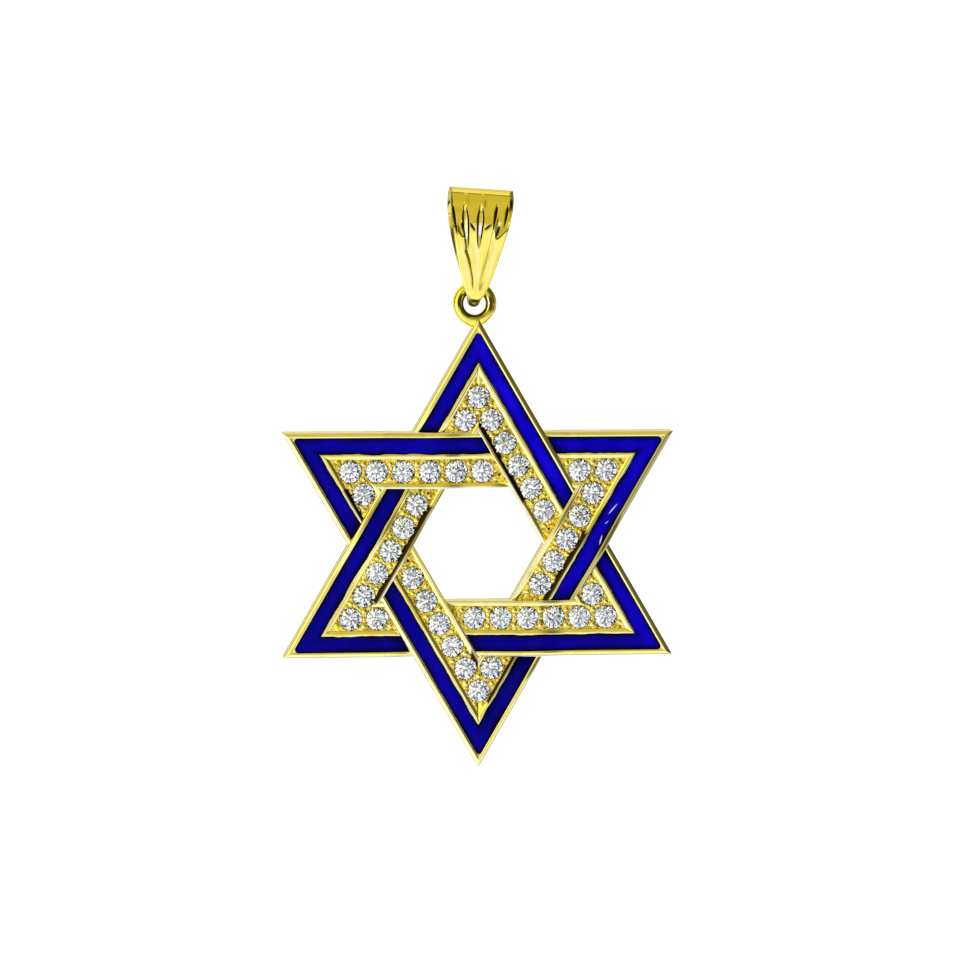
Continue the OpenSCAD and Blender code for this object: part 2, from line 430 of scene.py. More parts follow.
def new_material(name):
    """A material with an empty tree, and the first wire in it."""
    material = bpy.data.materials.new(name)
    material.use_nodes = True
    material.node_tree.nodes.clear()
    return material, Wire(material.node_tree)


def close_material(start, shader):
    """Leads a shader to the surface."""
    start.node("ShaderNodeOutputMaterial", None, {"Surface": shader})


def stored(start, name):
    """A number that was stored at the points of a piece."""
    return start.take("ShaderNodeAttribute", "Fac", {"attribute_name": name})


def bumped(start, height, strength, depth):
    """The surface's direction, tilted by a height map of this depth in millimetres."""
    return start.take("ShaderNodeBump", 0, None, {
        "Height": height, "Strength": strength, "Distance": depth * MM,
    })


def speckle(start, grain, detail=2.0, squeeze=(1, 1, 1)):
    """Noise whose grains are about this many millimetres wide."""
    place = start.take("ShaderNodeTexCoord", "Object")
    place = start.take(
        "ShaderNodeVectorMath", 0, {"operation": "MULTIPLY"}, {0: place, 1: squeeze}
    )
    scale = 1 / (grain * MM)
    return start.take(
        "ShaderNodeTexNoise", 0, None, {"Vector": place, "Scale": scale, "Detail": detail}
    )


# Colours of buffed gold, of its painted highlights, of the cut facets painted lit and shaded, and of
# painted shade
gold_bright = (0.93, 0.86, 0.38)
gold_warm = (0.92, 0.81, 0.27)
gold_highlight = (0.95, 0.93, 0.72)
gold_facet_lit = (0.95, 0.79, 0.15)
gold_facet_shade = (0.74, 0.50, 0.05)
gold_shaded = (0.025, 0.015, 0.002)
haze_w = 1.6
scratch_w = 0.05
scratch_squeeze = 0.15
scratch_deep = 0.01


def polished_gold(name, bright, warm):
    """Buffed gold: nearly a mirror and a little hazy, with painted shade and painted highlights."""
    material, start = new_material(name)
    haze = speckle(start, haze_w).between(0.4, 0.7)
    groove = stored(start, "groove")
    scratches = speckle(start, scratch_w, 3, (1, 1, scratch_squeeze))
    painted_highlight = stored(start, "painted_highlight")
    # The stored painted highlight and painted shade tint the buffed colour
    highlighted_gold = painted_highlight.tint(haze.tint(bright, warm), gold_highlight)
    shader = start.take("ShaderNodeBsdfPrincipled", 0, None, {
        "Base Color": groove.tint(highlighted_gold, gold_shaded),
        "Metallic": 1.0,
        "Roughness": 0.05 + 0.06 * haze,
        "Normal": bumped(start, scratches, 0.12, scratch_deep),
    })
    close_material(start, shader)
    return material


# The painted highlight reaches this far in from each edge. An undercut's painted shade leaves a
# thin bright line of this width along its border. One leg's rim is painted in the room's shade,
# and one undercut's painted shade is no wider than its border.
highlight_reach = 0.18
thin_border = 0.2
shaded_rim = (2, OVER)
shaded_rim_level = 0.42
thin_slot_shade = (4, UNDER)
line_reach = 0.003
line_shade = 0.6
corner_reach = 0.05
row_middle = 0.3
border_slack = 0.01


def wedge_corner(arm):
    """The corner of an arm's bright cut on the side that lies in shade."""
    half, _ = wedges[arm]
    return (half if arm == 4 else -half, face_y, wedge_foot)


# Rows along which a dark slot is painted as the shade of the graver's undercut: arm, leg, side
# of the row (1 is outward), and from how far past the corner stone to how far, in millimetres
undercut_shades = [
    (1, OVER, -1, 1.5, 9.0), (2, OVER, 1, 5.0, 12.0), (4, OVER, -1, 0.5, 3.0),
    (4, UNDER, 1, -0.5, 4.0), (5, OVER, -1, 2.0, 11.0), (6, UNDER, 1, 1.0, 5.0),
]


def mark(piece, name, values):
    """Stores a number at each point of a piece, which its finish reads."""
    piece.data.attributes.new(name, "FLOAT", "POINT").data.foreach_set("value", values)


def leg_points(piece, arm):
    """Each point in its arm's own frame, with its leg and its place along that leg."""
    turn_back = Matrix.Rotation(math.radians(-60 * (arm - 1)), 4, "Y") @ star_place.inverted()
    for vertex in piece.data.vertices:
        point = turn_back @ vertex.co
        leg = OVER if point.x > 0 else UNDER
        yield point, leg, bar_point(-leg, *point)


def mark_places(piece, arm):
    """Stores each point's place along its leg and across the row, and its painted light and shade."""
    places, slot_shaded, painted_highlight, groove = [], [], [], []
    for point, leg, along in leg_points(piece, arm):
        far = along.x + corner_s if leg == OVER else corner_s - along.x
        last = over_count - 1 if leg == OVER else seat_count - over_count
        across = along.z - stone_line
        places += [far, across, last]
        from_side = min(side_out - along.z, along.z - side_in)
        on_front = along.y - face_y + rise(along.x) < 0.9 * wall_top
        # Painted highlight along the edges of the front
        painted_highlight.append(min(1, max(0, 1.2 - from_side / highlight_reach)) * on_front)
        # Painted shade: undercut slots at the borders, a spot at the bright cut's shaded corner, the
        # rim's fine line as a painted reflection, and the rim in the room's shade
        is_slot_shaded = any(
            (row_arm, row_leg) == (arm, leg) and across * side > row_middle and start < far < end
            for row_arm, row_leg, side, start, end in undercut_shades
        )
        slot_shaded.append(float(is_slot_shaded and (arm, leg) != thin_slot_shade))
        past_bed = abs(across) - bed_half
        in_border = -border_slack < past_bed < border_w - thin_border
        on_line = on_front and abs(side_out - along.z - rim_line * rim_w) < line_reach
        uneven = 0.5 + 0.6 * noise.noise(Vector((arm * 2.3, leg, along.x / 2)))
        from_wedge = (point - Vector(wedge_corner(arm))).length
        shade = max(is_slot_shaded and in_border, from_wedge < corner_reach, line_shade * uneven * on_line)
        if (arm, leg) == shaded_rim and on_front and along.z > enamel_out:
            shade = max(shade, shaded_rim_level)
        groove.append(shade)
    piece.data.attributes.new("place", "FLOAT_VECTOR", "POINT").data.foreach_set("vector", places)
    mark(piece, "slot_shaded", slot_shaded)
    mark(piece, "painted_highlight", painted_highlight)
    mark(piece, "groove", groove)


crevice_w = 0.11
lump_w = 0.3
crumb_w = 0.12
pit_w = 0.5
facet_deep = 0.06
slot_narrow = 0.07
slot_swell = 0.13


def cells(start, width):
    """How far each point lies from its cell's middle, as a share of the width of the cells."""
    spot = start.take("ShaderNodeTexCoord", "Object")
    return start.take(
        "ShaderNodeTexVoronoi", "Distance", None, {"Vector": spot, "Scale": 1 / (width * MM)}
    )


def cut_gold():
    """Graver-cut gold round the stones: facets painted lighter where high, painted shade in its hollows.
    """
    material, start = new_material("cut_gold")
    place = start.node("ShaderNodeAttribute", {"attribute_name": "place"}).outputs["Vector"]
    parts = start.node("ShaderNodeSeparateXYZ", None, {0: Wire(start.tree, place)})
    far, across, last = (Wire(start.tree, parts.outputs[i]) for i in range(3))
    stone = start.math("MAXIMUM", start.math("ROUND", far / stone_pitch), 0)
    stone = start.math("MINIMUM", stone, last)
    aside = far - stone * stone_pitch
    from_stone = start.math("SQRT", aside * aside + across * across)
    # Painted shade in the crevice round each seat, in the undercut slots, in the pits past the last
    # stone and in the creases between the lumps
    crevice_shade = 1 - from_stone.between(seat_r, seat_r + crevice_w)
    crevice_shade = crevice_shade * speckle(start, 0.3).between(0.42, 0.62)
    slot_shaded = stored(start, "slot_shaded")
    from_edge = bed_half - start.math("ABSOLUTE", across)
    slot_w = slot_narrow + slot_swell * speckle(start, 0.7).between(0.35, 0.6)
    slot_shade = slot_shaded * (1 - (from_edge - slot_w).between(-0.03, 0.02))
    slot_shade = slot_shade * speckle(start, 1.3).between(0.36, 0.42)
    crumbs = speckle(start, crumb_w, 4)
    lumps = cells(start, lump_w)
    rough = (far + seat_r).between(-0.45, -0.1)
    facets = 1.2 - lumps + 0.6 * crumbs
    height = facets * (0.15 + 0.85 * rough)
    past_last = (far - last * stone_pitch).between(1.0, 1.15)
    pit_shade = past_last * (1 - cells(start, pit_w).between(0.2, 0.28))
    bed_crease_shade = lumps.between(0.55, 0.75) * crumbs.between(0.38, 0.58) * rough
    groove = stored(start, "groove")
    dark = 0.6 * crevice_shade + slot_shade + pit_shade + 0.55 * bed_crease_shade + groove
    dark = start.math("MINIMUM", dark, 1.0)
    # The facets are painted lighter where they stand high
    lit = facets.between(0.6, 1.1)
    lit = start.math("MAXIMUM", lit, 0.9 - 0.9 * rough)
    shader = start.take("ShaderNodeBsdfPrincipled", 0, None, {
        "Base Color": dark.tint(lit.tint(gold_facet_shade, gold_facet_lit), gold_shaded),
        "Metallic": 1.0,
        "Roughness": 0.3 - 0.15 * crumbs,
        "Normal": bumped(start, height, 1.0, facet_deep),
    })
    close_material(start, shader)
    return material


star_gold = [polished_gold("polished_gold", gold_bright, gold_warm), cut_gold()]


def dress_gold(piece, body, finishes, *nodes):
    """Gives a piece its gold finishes, and its place on a body of the frame."""
    for finish in finishes:
        piece.data.materials.append(finish)
    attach(piece, body)
    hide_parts(*nodes)


under_tuck = 0.16
under_lift = 0.05
arm_way = arm_columns(under_tuck, under_lift)
for arm in arms:
    gold_arm = arm_piece(
        f"gold_arm_{arm}", arm, arm_way, bar_profile, bed_spans, arm_cutters(arm)
    )
    mark_places(gold_arm, arm)
    dress_gold(gold_arm, "star", star_gold, "star_frame")

# The hanging ring is drawn gold wire, closed and soldered edge-on to the point of the
# top arm. The bail's fold runs in it, and it turns on the bail as the star swings.
joint = frame["joints"][0]
swing_centre = Vector(joint["pos_m"]) / MM
ring_mid = 1.31
wire_r = 0.43
solder_swell = 0.38
solder_reach = 0.5
ring_steps = 96
wire_steps = 56
wire_wear = 0.015
inner_shade = 0.6
inner_fade = 0.5
inner_past = 0.1
line_dark = 0.95
# Stretches of the ring's inner slope that take a painted highlight, each with a painted dark
# line at its edge: middle round the ring and reach, and then where both lie round the wire's
# section and how they fade, all in degrees
highlight_sides = [(90, 38), (282, 34)]
glint_from, glint_to, glint_fade = 205, 250, 8
line_from, line_to, line_fade = 246, 282, 6


def smooth(share):
    """0 below 0, 1 above 1 and smooth between."""
    share = min(1, max(0, share))
    return share * share * (3 - 2 * share)


def within(value, low, high, fade, high_fade=None):
    """1 between two limits and 0 outside them, smooth over a fade inside each."""
    return smooth((value - low) / fade) * smooth((high - value) / (high_fade or fade))


def side_marks(around, a):
    """How much painted highlight and painted dark line a point of the ring's wire takes at its sides."""
    pale, dark = 0, 0
    for middle, reach in highlight_sides:
        near = smooth(2 * (1 - abs(math.degrees(around) - middle) / reach))
        pale = max(pale, near * within(a, glint_from, glint_to, glint_fade))
        dark = max(dark, near * within(a, line_from, line_to, line_fade))
    return pale, dark


def ring_mesh():
    mesh = bmesh.new()
    place = Matrix.Translation(swing_centre - Vector((0, 0, ring_mid)))
    rings = []
    for i in range(ring_steps):
        around = math.tau * i / ring_steps
        out = Vector((math.sin(around), 0, math.cos(around)))
        ring = []
        for k in range(wire_steps):
            a = math.tau * k / wire_steps
            uneven = 1 + wire_wear * noise.noise(Vector((2 * out.x, 3, 2 * out.z)))
            if math.cos(a) > 0:
                uneven += solder_swell * math.exp(-((around - math.pi) / solder_reach) ** 2)
            offset = out * (ring_mid + wire_r * uneven * math.cos(a))
            offset += Vector((0, wire_r * math.sin(a), 0))
            ring.append(mesh.verts.new(place @ offset))
        rings.append(ring)
    skin(mesh, rings + rings[:1])
    piece = finished("hanging_ring", mesh, Matrix.Scale(MM, 4))
    groove, painted_highlight = [], []
    for i in range(ring_steps):
        for k in range(wire_steps):
            pale, dark = side_marks(math.tau * i / ring_steps, 360 * k / wire_steps)
            # The wire's inner side, toward the hole, is painted in shade, less under a painted highlight
            inward = inner_past - math.cos(math.tau * k / wire_steps)
            inside = inner_shade * min(1, max(0, inward) / inner_fade)
            groove.append(max(line_dark * dark, inside * (1 - pale)))
            painted_highlight.append(pale)
    mark(piece, "groove", groove)
    mark(piece, "painted_highlight", painted_highlight)
    return piece


finding_bright = (0.93, 0.80, 0.17)
finding_warm = (0.91, 0.75, 0.10)
finding_gold = [polished_gold("finding_gold", finding_bright, finding_warm)]
dress_gold(ring_mesh(), "star", finding_gold, "star_frame")

# The enamel is glass, packed into the channels as powder, fired and stoned back. It sits a
# hair below the rim and is drawn up at its edges. It is painted darkest there, and painted
# shade darkens it next to the bars that cross over it.
fit_gap = 0.02
edge_sink = 0.07
pool_sink = 0.12
pool_steps = 12
shade_reach = 1.4
mitre_blend = 0.7
blotch_w = 1.6
edge_shade_w = 0.34
blotch_shade_w = 0.3
covered_light = 0.04
cover_curve = 0.8
# The top is flat in the middle and drawn up at its sides, and its last part, next to the
# border, follows the border's hand-cut line
pool_curve = 3
wander_from = 0.7
# How bright the enamel is on each leg, arm by arm
leg_tones = {
    (1, UNDER): 0.6, (1, OVER): 1.0, (2, UNDER): 0.78, (2, OVER): 0.75,
    (3, UNDER): 0.82, (3, OVER): 0.44, (4, UNDER): 0.32, (4, OVER): 0.5,
    (5, UNDER): 0.36, (5, OVER): 0.42, (6, UNDER): 0.5, (6, OVER): 0.56,
}


def enamel_profile():
    """Closed profile of the enamel: its pooled top, and its sides and foot in the channel."""
    low_d, high_d = enamel_in + fit_gap, enamel_out - fit_gap
    top = []
    for i in range(pool_steps + 1):
        share = i / pool_steps
        pooled = 1 - abs(2 * share - 1) ** pool_curve
        d = high_d + share * (low_d - high_d)
        sink = edge_sink + (pool_sink - edge_sink) * pooled
        top.append((d, sink, True, share > wander_from))
    foot_y = channel_depth - fit_gap
    return top + [(low_d, foot_y, True, True), (high_d, foot_y, True, False)]


# Fine pale glints painted on the glass of the upper right arm, as painted reflections: place from
# the star's middle, half length and half width in millimetres, and the way they run in degrees
painted_glints = [
    (10.75, 2.77, 0.62, 0.055, 49),
    (9.75, 0.32, 0.46, 0.06, 73),
    (10.25, 1.7, 0.22, 0.03, 40),
]


def glint_marks(start):
    """1 on the painted glints and 0 elsewhere."""
    parts = start.node("ShaderNodeSeparateXYZ", None, {0: start.take("ShaderNodeTexCoord", "Object")})
    x, z = Wire(start.tree, parts.outputs[0]) / MM, Wire(start.tree, parts.outputs[2]) / MM
    marks = 0
    for right, up, half_long, half_wide, way in painted_glints:
        from_x = x - (star_middle.x / MM + right)
        from_z = z - (star_middle.z / MM + up)
        run = math.radians(way)
        along = (from_x * math.cos(run) + from_z * math.sin(run)) / half_long
        across = (from_z * math.cos(run) - from_x * math.sin(run)) / half_wide
        marks = marks + (1 - (along * along + across * across).between(0.3, 1.0))
    return marks


enamel_deep = (0.004, 0.0004, 0.75)
enamel_clear = (0.008, 0.0006, 1.0)
enamel_shaded = (0.0008, 0.001, 0.02)
glint_pale = (0.75, 0.72, 0.95)
cloud_w = 3.5
ripple_w = 0.9
ripple_deep = 0.03


def enamel_finish():
    """Deep transparent blue over gold, as its own colour, glassy, with painted shade and painted glints.
    """
    material, start = new_material("blue_enamel")
    pool_light = stored(start, "pool_light")
    cloud = speckle(start, cloud_w).between(0.35, 0.65)
    body = cloud.tint(enamel_deep, enamel_clear)
    # Painted shade at the edges and beside the covering bars darkens the blue
    glass = pool_light.tint(enamel_shaded, body)
    shader = start.take("ShaderNodeBsdfPrincipled", 0, None, {
        "Base Color": glint_marks(start).tint(glass, glint_pale),
        "Roughness": 0.05,
        "Specular IOR Level": 0.02,
        "Normal": bumped(start, speckle(start, ripple_w), 0.25, ripple_deep),
    })
    close_material(start, shader)
    return material


blue_enamel = enamel_finish()


def mark_pool(piece, arm):
    """Stores each point's painted light: shade near the edges and the covering bars, times the leg's
    tone.
    """
    values = []
    for point, leg, along in leg_points(piece, arm):
        edge = min(along.z - enamel_in, enamel_out - along.z) / channel_w
        covered = abs(cover_s(leg, 0, along.z) - along.x)
        blotch = noise.noise(Vector((arm * 5.1, point.x / blotch_w, point.z / blotch_w)))
        lit = min(1, max(0, edge) / (edge_shade_w + blotch_shade_w * blotch))
        shade = min(1, covered / shade_reach) ** cover_curve
        shade = covered_light + (1 - covered_light) * shade
        over_share = min(1, max(0, 0.5 + point.x / (2 * mitre_blend)))
        tone = leg_tones[arm, UNDER] + over_share * (leg_tones[arm, OVER] - leg_tones[arm, UNDER])
        values.append(smooth(lit) * shade * tone)
    mark(piece, "pool_light", values)


for arm in arms:
    enamel = arm_piece(f"blue_enamel_{arm}", arm, arm_columns(-fit_gap, 0), enamel_profile())
    mark_pool(enamel, arm)
    enamel.data.materials.append(blue_enamel)
    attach(enamel, "star")
    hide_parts(f"enamel_{arm}")

# Forty-two round brilliants sit in the drilled seats, seven to an arm. Beads of gold, raised
# from the bed with a graver and rounded with a cup, are pushed over their edges.
bead_r = 0.22
bead_out = 0.6
small_bead_r = 0.13
grain_count = 9
grain_r = 0.085
bead_chance = random.Random(7)


def add_bead(mesh, place, radius, fineness=3):
    """One bead, flattened and a little askew."""
    stretch = Matrix.Diagonal((bead_chance.uniform(0.8, 1.2), 1, bead_chance.uniform(0.6, 0.8), 1))
    spin = Matrix.Rotation(bead_chance.uniform(0, math.pi), 4, "Z")
    bmesh.ops.create_icosphere(mesh, subdivisions=fineness, radius=radius, matrix=place @ spin @ stretch)


def is_bare(leg, s, across, reach):
    """Whether a bead of this reach clears the bar that covers its leg."""
    cover = cover_s(leg, 0, stone_line + across)
    return s < cover - reach if leg == OVER else s > cover + reach


def arm_beads(arm):
    """Beads in each gap of both rows, and grains of gold pushed over each stone's edge."""
    mesh = bmesh.new()
    turn = arm_turn(arm)
    gaps = [(OVER, (i + 0.5) * stone_pitch - corner_s) for i in range(over_count)]
    gaps += [(UNDER, corner_s - (i + 0.5) * stone_pitch) for i in range(seat_count - over_count + 1)]
    for leg, s in gaps:
        for across, radius in ((-bead_out, bead_r), (0, small_bead_r), (bead_out, bead_r)):
            if is_bare(leg, s, across, radius):
                add_bead(mesh, turn @ on_bar(leg, s, across), radius * bead_chance.uniform(0.85, 1.1))
    for seat in range(1, seat_count + 1):
        leg, s = seat_place(seat)
        for i in range(grain_count):
            angle = math.tau * (i + bead_chance.uniform(-0.3, 0.3)) / grain_count
            along, across = seat_r * math.cos(angle), seat_r * math.sin(angle)
            radius = grain_r * bead_chance.uniform(0.6, 1.2)
            if is_bare(leg, s + along, across, radius):
                add_bead(mesh, turn @ on_bar(leg, s + along, across), radius, 2)
    return finished(f"setting_beads_{arm}", mesh, star_place, (), 60)


for arm in arms:
    dress_gold(arm_beads(arm), "star", star_gold, "star_frame")


def brilliant_finish():
    """Clear cut stone that bends light strongly."""
    material, start = new_material("white_brilliant")
    shader = start.take("ShaderNodeBsdfPrincipled", 0, None, {
        "Base Color": (0.97, 0.98, 0.95, 1.0),
        "Roughness": 0.0,
        "IOR": 2.42,
        "Transmission Weight": 1.0,
    })
    close_material(start, shader)
    return material


white_brilliant = brilliant_finish()
for arm in arms:
    for seat in range(1, seat_count + 1):
        stone = frame["nodes"][f"stone_{arm}_{seat}"]
        stone.data.materials.clear()
        stone.data.materials.append(white_brilliant)

# The bail is one tapered strip of gold sheet, folded over so that its foot runs in the ring
# and a chain passes under its crest. Its front leaf is fluted below a plain top band.
crest_out = 2.3
leaf_t = 0.5
foot_t = 0.9
fold_out = 1.6058
bail_h = 9.4
foot_half = 0.5
crest_half = 2.55
foot_h = 1.3
side_bow = 0.45
bail_lean = 4
crest_z = bail_h - fold_out - crest_out
leaf_tilt = math.degrees(math.asin((crest_out - fold_out) / crest_z))
leaf_round = 0.14
corner_round = 0.3
right_edge = 0.4
foot_round = 0.22
under_round = 0.47
foot_lining_round = 0.5
leaf_fullness = 0.33
fullness_reach = 4.6
narrow_angle = 150
leaf_bulge = 0.04
front_angle = 90 + leaf_tilt
# The step under the plain top band, with a dark line of painted shade in its corner: angles round the
# crest
band_angle = 34
band_end = 75
band_fades = (3, 20)
band_step = 0.03
band_line = 1.5
band_line_half = 2.5
band_shade = 0.55
# Each cut in the front leaf: its place across, as shares of the half width, at the crest and
# at the fold, the heights where it starts and runs out, as shares of the bail's height, its
# half width and depth in millimetres, the share of its width that is a floor with a painted
# highlight, and how dark the painted shade on its walls is
flutes = [
    dict(top=-0.96, foot=-0.74, start=0.88, end=0.60, half=0.19, deep=0.10, floor=0, shade=0.97),
    dict(top=-0.55, foot=-0.48, start=0.88, end=0.47, half=0.40, deep=0.22, floor=0.36, shade=0.97),
    dict(top=-0.01, foot=-0.04, start=0.88, end=0.50, half=0.43, deep=0.22, floor=0.36, shade=0.97),
    dict(top=0.50, foot=0.35, start=0.89, end=0.66, half=0.22, deep=0.14, floor=0, shade=0.97),
    dict(top=0.83, foot=0.81, start=0.89, end=0.68, half=0.20, deep=0.12, floor=0, shade=0.97),
    dict(top=-1.20, foot=0.13, start=0.50, end=0.34, half=0.10, deep=0.04, floor=0, shade=0.5),
    dict(top=0.50, foot=0.35, start=0.70, end=0.27, half=0.08, deep=0.03, floor=0, shade=0.55),
]
# Fine raised lines that run down from the top band to the two wide flutes, steep on their
# left and gentle on their right
ridges = (-0.55, -0.01)
ridge_left = 0.12
ridge_right = 0.5
ridge_rise = 0.035
ridge_end = 74
ridge_fades = (4, 8)
# Shallow nicks under the shoulder, between the cuts, painted dark, each beside a painted highlight:
# both ends, each as a share of the half width across and of the bail's height, and the side of the
# painted highlight
nicks = [
    ((-0.66, 0.700), (-0.61, 0.640), -1),
    ((-0.37, 0.706), (-0.22, 0.655), 1),
    ((0.34, 0.706), (0.17, 0.668), -1),
    ((0.66, 0.690), (0.61, 0.615), -1),
]
nick_half = 0.16
nick_deep = 0.02
glint_half = 0.1
# The share of its full width that a flute or a nick starts with. A flute deepens, widens and
# runs out over these shares of its length
cut_start = 0.35
flute_open = 0.15
flute_full = 0.4
flute_close = 0.3
# The leaf's left and right edges are painted dark with painted shade above these shares of the
# bail's height, the right one as a band that fades at both sides
left_edge = 0.22
left_from = 0.55
left_shade = 0.5
right_from = 0.8
right_angle = 38
right_fades = (0.35, 0.3)
right_shade = 0.95
# The lining is painted half in shade
lining_shade = 0.5


def bail_half_w(z):
    """Half of the bail's width at a height above the middle of its fold."""
    t = (z + fold_out - foot_h) / (bail_h - foot_h)
    t = min(1, max(0, t))
    return foot_half + t * (crest_half - foot_half) + 4 * side_bow * t * (1 - t)


# How finely the loop is divided: over the crest to the front, down the front leaf, round the
# fold, up the back leaf and over the crest again
crest_steps = 80
front_steps = 90
fold_steps = 24
back_steps = 20
rear_steps = 28


def bail_stations():
    """Stations round the loop: share of the way from crest to fold, and facing angle."""
    rear = 270 - leaf_tilt
    stations = [(0, front_angle * i / crest_steps) for i in range(crest_steps)]
    stations += [(i / front_steps, front_angle) for i in range(front_steps)]
    stations += [(1, front_angle + (180 - 2 * leaf_tilt) * i / fold_steps) for i in range(fold_steps)]
    stations += [(1 - i / back_steps, rear) for i in range(back_steps)]
    stations += [(0, rear + front_angle * i / rear_steps) for i in range(rear_steps)]
    return stations


# The three plain lands of the lower leaf. The line between the left two crosses toward the
# middle from a height down, and the right line slants. Places are shares of the half width
land_left, land_left_foot = -0.53, -0.2
land_turn, land_slope = 0.48, 1.34
land_right, land_right_slope = 0.33, 0.144
land_top, land_foot = 0.62, 0.08
land_fade = 0.15
land_swell = 0.05
# The painted highlight stripe on each land: place and half width, heights, fades and strength
stripe_at, stripe_half = -0.15, 0.75
stripe_top, stripe_foot = 0.6, 0.12
stripe_fades = (0.15, 0.1)
stripe_pale = 0.3


def land_place(q, height):
    """Place across one of the three plain lands of the lower leaf, from -1 to 1."""
    left = min(land_left_foot, max(land_left, land_left + land_slope * (land_turn - height)))
    right = land_right + land_right_slope * height
    low, high = (-1, left) if q < left else (left, right) if q < right else (right, 1)
    return 2 * (q - low) / (high - low) - 1


def land_sink(q, height):
    """The lands are a little round from side to side."""
    u = land_place(q, height)
    return land_swell * u * u * within(height, land_foot, land_top, land_fade)


def land_highlight(q, height):
    """Each land takes a painted highlight along a stripe left of its middle."""
    u = land_place(q, height)
    stripe = smooth(1 - abs(u - stripe_at) / stripe_half)
    return stripe_pale * stripe * within(height, stripe_foot, stripe_top, *stripe_fades)


# The fold's underside in painted shade and the painted bright line along it, as angles round the loop
fold_from, fold_to = 126, 200
fold_fades = (6, 20)
fold_under_shade = 0.9
fold_line, fold_line_half = 146, 9
fold_line_light = 0.55


def fold_shade(facing):
    """The fold's underside is painted in shade, with one painted bright line along it."""
    line = smooth(1 - abs(facing - fold_line) / fold_line_half)
    return within(facing, fold_from, fold_to, *fold_fades) * (fold_under_shade - fold_line_light * line)


# The crease under the shoulder, painted dark as painted shade, in shares of the bail's height and
# of the half width: it drops beside the flutes and climbs again toward the edges. Over it the
# leaf leans back
crease_height = 0.708
crease_drop, drop_from, drop_reach = 0.115, 0.42, 0.2
crease_climb, climb_from, climb_reach = 0.085, 0.66, 0.36
crease_half = 0.1
crease_from = 0.5
crease_shade = 0.97
shoulder_end = 0.84
shoulder_deep, edge_deep = 0.16, 0.1
shoulder_from, shoulder_reach = 40, 40


def shoulder_start(q):
    """Height of the crease where the leaf turns over the shoulder, lowest beside the flutes."""
    drop = crease_drop * smooth((abs(q) - drop_from) / drop_reach)
    return crease_height - drop + crease_climb * smooth((abs(q) - climb_from) / climb_reach)


def shoulder_sink(q, height, facing):
    """The leaf leans back from its crease up to the crest."""
    start = shoulder_start(q)
    deep = shoulder_deep + edge_deep * q * q
    up = min(1, max(0, (height - start) / (shoulder_end - start)))
    over_crest = smooth((facing - shoulder_from) / shoulder_reach)
    return deep * (1.5 * up - 0.5 * up ** 3) * over_crest


def nick_marks(x, height, half_w):
    """How far a point lies in a nick, painted dark, and how far on the painted highlight beside one."""
    in_nick, on_glint = 0, 0
    for (top_q, top_height), (low_q, low_height), glint_side in nicks:
        start = Vector((top_q * half_w, top_height * bail_h))
        run = Vector((low_q * half_w, low_height * bail_h)) - start
        place = Vector((x, height * bail_h)) - start
        share = min(1, max(0, place.dot(run) / run.length_squared))
        off = place - share * run
        swell = math.sin(math.pi * (0.15 + 0.7 * share))
        width = nick_half * (cut_start + (1 - cut_start) * swell)
        in_nick = max(in_nick, smooth(1.5 * (1 - off.length / width)))
        beside = off - Vector((glint_side * (width + glint_half), 0))
        on_glint = max(on_glint, smooth(1.5 * (1 - beside.length / glint_half)))
    return in_nick, on_glint


def shaded_edges(x, height, facing, half_w):
    """How much painted shade the front leaf's left and right edges take at a point."""
    past_left = (-x - half_w + left_edge) / left_edge
    dark = left_shade * smooth(2 * past_left) * smooth((height - left_from) / 0.1)
    past_right = (x - half_w + right_edge) / right_edge
    if past_right > 0:
        in_edge = within(past_right, 0, 1, *right_fades) * smooth((height - right_from) / 0.05)
        dark = max(dark, right_shade * in_edge * smooth((facing - right_angle) / 12))
    return dark


def flute_sink(x, z, facing, half_w):
    """Depth of the fluting at a point of the front leaf, and its painted shade and painted highlight."""
    height = (z + fold_out) / bail_h
    q = x / half_w
    sink = land_sink(q, height) + shoulder_sink(q, height, facing)
    sink += band_step * within(facing, band_angle, band_end, *band_fades)
    dark = band_shade * smooth(1 - abs(facing - band_angle - band_line) / band_line_half)
    in_nick, pale = nick_marks(x, height, half_w)
    sink += nick_deep * in_nick
    # Painted shade along the crease, in the nicks and on the edges
    from_crease = abs(height - shoulder_start(q)) * bail_h
    creased = smooth(1.6 * (1 - from_crease / crease_half)) * smooth((abs(q) - crease_from) / 0.1)
    dark = max(dark, in_nick, crease_shade * creased, shaded_edges(x, height, facing, half_w))
    for flute in flutes:
        middle = half_w * (flute["foot"] + height * (flute["top"] - flute["foot"]))
        down = (flute["start"] - height) / (flute["start"] - flute["end"])
        if 0 < down < 1:
            spread = cut_start + (1 - cut_start) * smooth(down / flute_full)
            half = flute["half"] * spread * (1 - down) ** 0.5
            in_wall = smooth((1 - abs(x - middle) / half) / (1 - flute["floor"]))
            open_share = smooth(down / flute_open)
            sink += flute["deep"] * open_share * smooth((1 - down) / flute_close) * in_wall
            # Painted shade on the cut's walls, and a painted highlight on a wide cut's floor
            wall_dark = 4 * in_wall * (1 - in_wall) if flute["floor"] else in_wall
            dark = max(dark, flute["shade"] * open_share * min(1, 1.5 * wall_dark))
            if flute["floor"]:
                pale = max(pale, smooth(4 * in_wall - 3) * smooth(2 * down))
    for ridge in ridges:
        aside = x - ridge * half_w
        near = smooth(1 - max(-aside / ridge_left, aside / ridge_right))
        sink -= ridge_rise * near * within(facing, band_angle, ridge_end, *ridge_fades)
    return sink, dark, max(pale, land_highlight(q, height))


